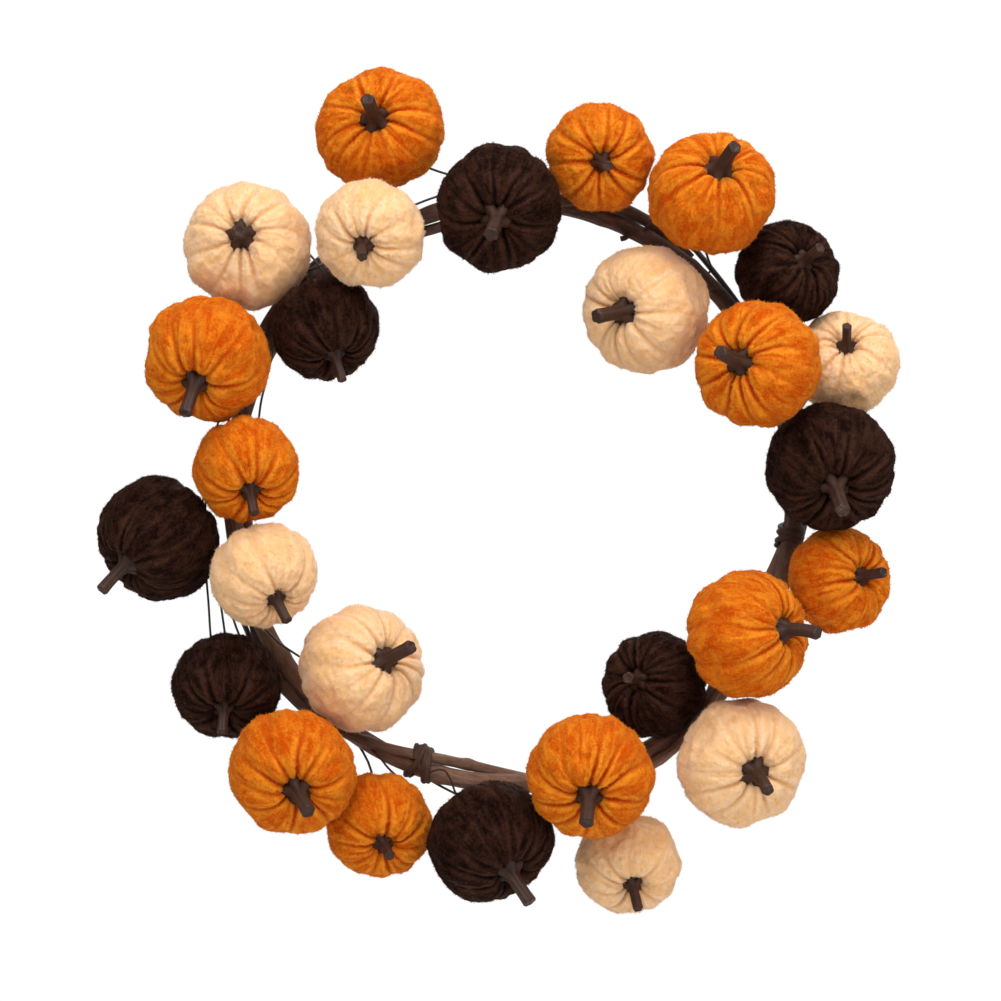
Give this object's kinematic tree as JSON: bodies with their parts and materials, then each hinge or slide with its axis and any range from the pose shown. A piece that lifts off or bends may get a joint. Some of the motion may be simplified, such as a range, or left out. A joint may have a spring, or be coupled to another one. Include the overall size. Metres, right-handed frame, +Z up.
{
  "type": "harvest door wreath",
  "caption": "Round vine ring with stuffed velvet pumpkins in orange, cream and dark brown, each on its own soft wire pick, hung by the top of the ring.",
  "frame": {"origin": "underside of the main cane at the top of the ring, where a door hook carries the wreath", "axes": "+Z up, the front with the stems towards -Y, +X to the viewer's right"},
  "size_m": [0.4834, 0.1327, 0.5115],
  "materials": {
    "orange_velvet": "crushed velvet",
    "cream_velvet": "crushed velvet",
    "brown_velvet": "crushed velvet",
    "stem_plastic": "moulded, satin",
    "vine_bark": "natural bark",
    "wire": "dark, satin"
  },
  "bodies": {
    "ring": {"vine_main_cane": "vine_bark", "vine_second_cane": "vine_bark", "wires_lower_left": "wire", "wires_lower_right": "wire", "wires_upper_left": "wire", "wires_upper_right": "wire"},
    "pumpkin_01_orange": {"pumpkin_01_orange_cover": "orange_velvet", "pumpkin_01_orange_stem": "stem_plastic"},
    "pumpkin_02_cream": {"pumpkin_02_cream_cover": "cream_velvet", "pumpkin_02_cream_stem": "stem_plastic"},
    "pumpkin_03_cream": {"pumpkin_03_cream_cover": "cream_velvet", "pumpkin_03_cream_stem": "stem_plastic"},
    "pumpkin_04_brown": {"pumpkin_04_brown_cover": "brown_velvet", "pumpkin_04_brown_stem": "stem_plastic"},
    "pumpkin_05_orange": {"pumpkin_05_orange_cover": "orange_velvet", "pumpkin_05_orange_stem": "stem_plastic"},
    "pumpkin_06_orange": {"pumpkin_06_orange_cover": "orange_velvet", "pumpkin_06_orange_stem": "stem_plastic"},
    "pumpkin_07_brown": {"pumpkin_07_brown_cover": "brown_velvet", "pumpkin_07_brown_stem": "stem_plastic"},
    "pumpkin_08_cream": {"pumpkin_08_cream_cover": "cream_velvet", "pumpkin_08_cream_stem": "stem_plastic"},
    "pumpkin_09_brown": {"pumpkin_09_brown_cover": "brown_velvet", "pumpkin_09_brown_stem": "stem_plastic"},
    "pumpkin_10_cream": {"pumpkin_10_cream_cover": "cream_velvet", "pumpkin_10_cream_stem": "stem_plastic"},
    "pumpkin_11_orange": {"pumpkin_11_orange_cover": "orange_velvet", "pumpkin_11_orange_stem": "stem_plastic"},
    "pumpkin_12_orange": {"pumpkin_12_orange_cover": "orange_velvet", "pumpkin_12_orange_stem": "stem_plastic"},
    "pumpkin_13_brown": {"pumpkin_13_brown_cover": "brown_velvet", "pumpkin_13_brown_stem": "stem_plastic"},
    "pumpkin_14_orange": {"pumpkin_14_orange_cover": "orange_velvet", "pumpkin_14_orange_stem": "stem_plastic"},
    "pumpkin_15_cream": {"pumpkin_15_cream_cover": "cream_velvet", "pumpkin_15_cream_stem": "stem_plastic"},
    "pumpkin_16_brown": {"pumpkin_16_brown_cover": "brown_velvet", "pumpkin_16_brown_stem": "stem_plastic"},
    "pumpkin_17_cream": {"pumpkin_17_cream_cover": "cream_velvet", "pumpkin_17_cream_stem": "stem_plastic"},
    "pumpkin_18_orange": {"pumpkin_18_orange_cover": "orange_velvet", "pumpkin_18_orange_stem": "stem_plastic"},
    "pumpkin_19_orange": {"pumpkin_19_orange_cover": "orange_velvet", "pumpkin_19_orange_stem": "stem_plastic"},
    "pumpkin_20_brown": {"pumpkin_20_brown_cover": "brown_velvet", "pumpkin_20_brown_stem": "stem_plastic"},
    "pumpkin_21_cream": {"pumpkin_21_cream_cover": "cream_velvet", "pumpkin_21_cream_stem": "stem_plastic"},
    "pumpkin_22_orange": {"pumpkin_22_orange_cover": "orange_velvet", "pumpkin_22_orange_stem": "stem_plastic"},
    "pumpkin_23_brown": {"pumpkin_23_brown_cover": "brown_velvet", "pumpkin_23_brown_stem": "stem_plastic"},
    "pumpkin_24_cream": {"pumpkin_24_cream_cover": "cream_velvet", "pumpkin_24_cream_stem": "stem_plastic"},
    "pumpkin_25_orange": {"pumpkin_25_orange_cover": "orange_velvet", "pumpkin_25_orange_stem": "stem_plastic"},
    "pumpkin_26_orange": {"pumpkin_26_orange_cover": "orange_velvet", "pumpkin_26_orange_stem": "stem_plastic"},
    "pumpkin_27_brown": {"pumpkin_27_brown_cover": "brown_velvet", "pumpkin_27_brown_stem": "stem_plastic"}
  },
  "joints": [
    {"name": "pumpkin_01_orange_swivel", "type": "hinge", "parent": "ring", "child": "pumpkin_01_orange", "pos_m": [-0.08059, -0.014, 0.04739], "axis": [-0.0906, -0.9703, 0.2243], "range_deg": [-45, 45]},
    {"name": "pumpkin_02_cream_swivel", "type": "hinge", "parent": "ring", "child": "pumpkin_02_cream", "pos_m": [-0.16004, -0.02009, -0.02289], "axis": [-0.0915, -0.9744, 0.2055], "range_deg": [-45, 45]},
    {"name": "pumpkin_03_cream_swivel", "type": "hinge", "parent": "ring", "child": "pumpkin_03_cream", "pos_m": [-0.08563, -0.05604, -0.01813], "axis": [-0.1464, -0.9272, -0.3448], "range_deg": [-45, 45]},
    {"name": "pumpkin_04_brown_swivel", "type": "hinge", "parent": "ring", "child": "pumpkin_04_brown", "pos_m": [-0.11233, -0.031, -0.07278], "axis": [0.2835, -0.5592, -0.779], "range_deg": [-45, 45]},
    {"name": "pumpkin_05_orange_swivel", "type": "hinge", "parent": "ring", "child": "pumpkin_05_orange", "pos_m": [-0.18363, -0.04415, -0.09093], "axis": [-0.1879, -0.766, -0.6147], "range_deg": [-45, 45]},
    {"name": "pumpkin_06_orange_swivel", "type": "hinge", "parent": "ring", "child": "pumpkin_06_orange", "pos_m": [-0.15941, -0.0414, -0.15761], "axis": [0.1446, -0.766, -0.6263], "range_deg": [-45, 45]},
    {"name": "pumpkin_07_brown_swivel", "type": "hinge", "parent": "ring", "child": "pumpkin_07_brown", "pos_m": [-0.21367, -0.02169, -0.19922], "axis": [-0.6634, -0.5, -0.5567], "range_deg": [-45, 45]},
    {"name": "pumpkin_08_cream_swivel", "type": "hinge", "parent": "ring", "child": "pumpkin_08_cream", "pos_m": [-0.149, -0.0408, -0.22104], "axis": [0.3716, -0.6691, -0.6436], "range_deg": [-45, 45]},
    {"name": "pumpkin_09_brown_swivel", "type": "hinge", "parent": "ring", "child": "pumpkin_09_brown", "pos_m": [-0.17276, -0.02329, -0.28764], "axis": [-0.0224, -0.766, -0.6424], "range_deg": [-45, 45]},
    {"name": "pumpkin_10_cream_swivel", "type": "hinge", "parent": "ring", "child": "pumpkin_10_cream", "pos_m": [-0.09076, -0.02315, -0.27756], "axis": [0.5624, -0.788, 0.2504], "range_deg": [-45, 45]},
    {"name": "pumpkin_11_orange_swivel", "type": "hinge", "parent": "ring", "child": "pumpkin_11_orange", "pos_m": [-0.13213, -0.04897, -0.33817], "axis": [0.1719, -0.9135, -0.3686], "range_deg": [-45, 45]},
    {"name": "pumpkin_12_orange_swivel", "type": "hinge", "parent": "ring", "child": "pumpkin_12_orange", "pos_m": [-0.08115, -0.01203, -0.37265], "axis": [0.1545, -0.866, -0.4755], "range_deg": [-45, 45]},
    {"name": "pumpkin_13_brown_swivel", "type": "hinge", "parent": "ring", "child": "pumpkin_13_brown", "pos_m": [-0.01316, -0.03066, -0.38046], "axis": [0.4292, -0.6157, -0.6609], "range_deg": [-45, 45]},
    {"name": "pumpkin_14_orange_swivel", "type": "hinge", "parent": "ring", "child": "pumpkin_14_orange", "pos_m": [0.04597, -0.06059, -0.33976], "axis": [-0.0588, -0.9063, -0.4185], "range_deg": [-45, 45]},
    {"name": "pumpkin_15_cream_swivel", "type": "hinge", "parent": "ring", "child": "pumpkin_15_cream", "pos_m": [0.07038, -0.011, -0.39512], "axis": [0.0857, -0.788, -0.6097], "range_deg": [-45, 45]},
    {"name": "pumpkin_16_brown_swivel", "type": "hinge", "parent": "ring", "child": "pumpkin_16_brown", "pos_m": [0.08507, -0.01988, -0.28718], "axis": [-0.498, -0.848, 0.1812], "range_deg": [-45, 45]},
    {"name": "pumpkin_17_cream_swivel", "type": "hinge", "parent": "ring", "child": "pumpkin_17_cream", "pos_m": [0.13659, -0.04142, -0.33198], "axis": [0.2695, -0.9397, -0.2106], "range_deg": [-45, 45]},
    {"name": "pumpkin_18_orange_swivel", "type": "hinge", "parent": "ring", "child": "pumpkin_18_orange", "pos_m": [0.13987, -0.05447, -0.25538], "axis": [0.7803, -0.6157, 0.1097], "range_deg": [-45, 45]},
    {"name": "pumpkin_19_orange_swivel", "type": "hinge", "parent": "ring", "child": "pumpkin_19_orange", "pos_m": [0.19683, -0.02384, -0.22453], "axis": [0.5678, -0.809, 0.1521], "range_deg": [-45, 45]},
    {"name": "pumpkin_20_brown_swivel", "type": "hinge", "parent": "ring", "child": "pumpkin_20_brown", "pos_m": [0.18946, -0.04318, -0.15588], "axis": [0.0653, -0.8829, -0.4649], "range_deg": [-45, 45]},
    {"name": "pumpkin_21_cream_swivel", "type": "hinge", "parent": "ring", "child": "pumpkin_21_cream", "pos_m": [0.20123, -0.01328, -0.09332], "axis": [-0.0436, -0.866, 0.4981], "range_deg": [-45, 45]},
    {"name": "pumpkin_22_orange_swivel", "type": "hinge", "parent": "ring", "child": "pumpkin_22_orange", "pos_m": [0.14513, -0.06298, -0.09553], "axis": [-0.4669, -0.8829, 0.0491], "range_deg": [-45, 45]},
    {"name": "pumpkin_23_brown_swivel", "type": "hinge", "parent": "ring", "child": "pumpkin_23_brown", "pos_m": [0.16622, -0.01778, -0.03816], "axis": [0.4045, -0.866, 0.2939], "range_deg": [-45, 45]},
    {"name": "pumpkin_24_cream_swivel", "type": "hinge", "parent": "ring", "child": "pumpkin_24_cream", "pos_m": [0.08012, -0.02166, -0.06042], "axis": [-0.5507, -0.829, -0.0971], "range_deg": [-45, 45]},
    {"name": "pumpkin_25_orange_swivel", "type": "hinge", "parent": "ring", "child": "pumpkin_25_orange", "pos_m": [0.11883, -0.04516, 0.00764], "axis": [0.1461, -0.848, 0.5094], "range_deg": [-45, 45]},
    {"name": "pumpkin_26_orange_swivel", "type": "hinge", "parent": "ring", "child": "pumpkin_26_orange", "pos_m": [0.05202, -0.03226, 0.03035], "axis": [0.0274, -0.9744, -0.2233], "range_deg": [-45, 45]},
    {"name": "pumpkin_27_brown_swivel", "type": "hinge", "parent": "ring", "child": "pumpkin_27_brown", "pos_m": [-0.00886, -0.05189, -0.00164], "axis": [-0.043, -0.9511, -0.306], "range_deg": [-45, 45]}
  ]
}
